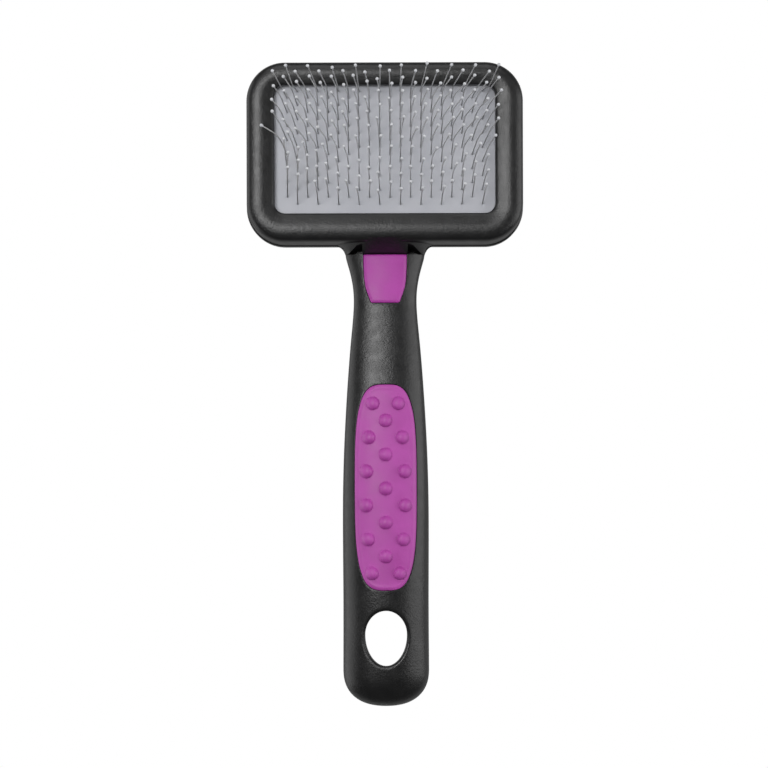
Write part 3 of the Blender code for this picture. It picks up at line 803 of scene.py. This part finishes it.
def bead(bm, centre, way, radius):
    """A drop of plastic on the wire's end: round at the tip, drawn in where it meets the wire."""
    profile = [(-1.5, 0.36), (-1.22, 0.5), (-0.9, 0.74), (-0.5, 0.94), (-0.1, 1.0), (0.3, 0.95), (0.62, 0.78), (0.85, 0.53), (0.97, 0.25)]
    across = (Vector((1, 0, 0)) - way * way.x).normalized()
    up = way.cross(across)
    rings = [[bm.verts.new((centre + way * (along * radius) + (across * math.cos(t) + up * math.sin(t)) * (size * radius)) * MM)
              for t in (2 * math.pi * k / 14 for k in range(14))] for along, size in profile]
    for near, far in zip(rings, rings[1:]):
        for k in range(14):
            j = (k + 1) % 14
            bm.faces.new((near[k], near[j], far[j], far[k]))
    bm.faces.new(rings[0][::-1])
    bm.faces.new(rings[-1])


def bm_mesh(bm, name):
    bmesh.ops.recalc_face_normals(bm, faces=bm.faces)
    mesh = bpy.data.meshes.new(name)
    bm.to_mesh(mesh)
    bm.free()
    return mesh


for row in range(ROWS):
    wires, balls = bmesh.new(), bmesh.new()
    y = row_y(row)
    for x in row_columns(row):
        dx, dy = lean(x, y)
        jx, jy, jz = (max(-0.6, min(0.6, chance.gauss(0, 0.3))) for _ in range(3))
        foot = Vector((x, y, 12.95))
        # the lower part leans forward only; the wires next to the far lip are steeper, to clear it when pressed
        share, bend = 0.6, KNEE + chance.gauss(0, 0.35)
        if y + share * dy > 85.8:
            share, bend = max(86.0 - y, 0.4) / dy, LOW_KNEE
        out = 0.1 + 0.35 * eased((abs(x) / 28.5 - 0.72) / 0.25)
        points = [foot, Vector((x, y + dy * 0.03, FACE + 0.4)), Vector((x + dx * out + jx * 0.25, y + dy * share, FACE + bend))]
        tip = Vector((x + dx + jx, y + dy + jy, FACE + BALL - 0.15 - abs(jz) * 0.5))
        if row == STRAY_ROW and x < -28.0:
            points = [foot] + [Vector((x + a, y + b, FACE + c)) for a, b, c in ((-0.05, 0.1, 0.5), (-1.2, 3.1, 4.2), (-2.7, 5.3, 6.2))]
            tip = Vector((x - 7.0, y + 7.7, FACE + 8.6))
        way = (tip - points[-1]).normalized()
        tube(wires, bent_path(points + [tip - way * 0.2], 2.2), WIRE_R)
        bead(balls, tip, way, BALL_R)
    # the crown that joins the row behind the pad's sheet
    xs = row_columns(row)
    tube(wires, [Vector((xs[0] - 0.4, y, 12.95)), Vector((xs[-1] + 0.4, y, 12.95))], 0.24)
    number = f"{row + 1:02d}"
    piece(f"pin_wires_{number}", shaded(bm_mesh(wires, "wires"), 50.0), STEEL, "pin_steel", "pin_pad", f"pin_row_{number}")
    piece(f"pin_tips_{number}", shaded(bm_mesh(balls, "balls"), 60.0), TIP, None, "pin_pad")

# ---- floor, light and camera --------------------------------------------------------------------------
scene = bpy.context.scene
scene.view_settings.view_transform = "Standard"

floor_mesh = bpy.data.meshes.new("floor")
floor_mesh.from_pydata([(-60, -60, -0.0003), (60, -60, -0.0003), (60, 60, -0.0003), (-60, 60, -0.0003)], [], [(0, 1, 2, 3)])
floor = new_object("floor", floor_mesh)
paper = bpy.data.materials.new("floor_paper")
paper.use_nodes = True
paper.node_tree.nodes.clear()
out = paper.node_tree.nodes.new("ShaderNodeOutputMaterial")
glow = paper.node_tree.nodes.new("ShaderNodeEmission")
glow.inputs["Color"].default_value = (1, 1, 1, 1)
glow.inputs["Strength"].default_value = 1.0
paper.node_tree.links.new(glow.outputs[0], out.inputs["Surface"])
floor.data.materials.append(paper)
floor.visible_glossy = False
floor.visible_diffuse = False
floor.visible_shadow = False

world = bpy.data.worlds.new("studio")
scene.world = world
world.use_nodes = True
tree = world.node_tree
background = tree.nodes["Background"]
background.inputs["Color"].default_value = (1.0, 1.0, 1.0, 1)
where = node(tree, "ShaderNodeTexCoord")
split = node(tree, "ShaderNodeSeparateXYZ")
tree.links.new(where.outputs["Generated"], split.inputs["Vector"])
low_sky = node(tree, "ShaderNodeValToRGB")
low_sky.color_ramp.elements[0].color = (0.24, 0.24, 0.24, 1)
low_sky.color_ramp.elements[1].position = 0.5
low_sky.color_ramp.elements[1].color = (0.1, 0.1, 0.1, 1)
middle = low_sky.color_ramp.elements.new(0.28)
middle.color = (0.5, 0.5, 0.5, 1)
tree.links.new(ranged(tree, split.outputs["Z"], 0.0, 1.0, -1.0, 1.0), low_sky.inputs["Fac"])
tree.links.new(low_sky.outputs["Color"], background.inputs["Strength"])


def panel(name, zenith, azimuth, distance, width, height, radiance):
    """A softbox on the sky, aimed at the brush: width runs round the horizon, height up and down."""
    z, a = math.radians(zenith), math.radians(azimuth)
    way = Vector((math.sin(z) * math.cos(a), math.sin(z) * math.sin(a), math.cos(z)))
    light = bpy.data.lights.new(name, "AREA")
    light.shape = "RECTANGLE"
    light.size, light.size_y = width, height
    light.energy = radiance * math.pi * width * height
    made = bpy.data.objects.new(name, light)
    scene.collection.objects.link(made)
    made.location = way * distance
    across = Vector((-math.sin(a), math.cos(a), 0.0))
    up = way.cross(across)
    made.rotation_euler = Matrix((across, up, way)).transposed().to_euler()
    return made


panel("light_key", 18.0, 150.0, 0.95, 0.50, 0.42, 8.1)
panel("light_right", 66.0, 0.0, 0.95, 0.76, 1.05, 2.25)
panel("light_far", 53.0, 92.0, 0.95, 0.76, 0.42, 1.9)
panel("light_left", 93.0, 180.0, 0.95, 1.40, 0.92, 1.25)

camera = bpy.data.objects.new("camera", bpy.data.cameras.new("camera"))
scene.collection.objects.link(camera)
camera.data.sensor_width = 36.0
camera.data.lens = 36.0 * 560.0 / (768 * 0.2945)
camera.data.clip_start = 0.01
camera.location = (-0.00042, 0.0, 0.570)
camera.rotation_euler = (0.0, 0.0, -0.0029)
scene.camera = camera
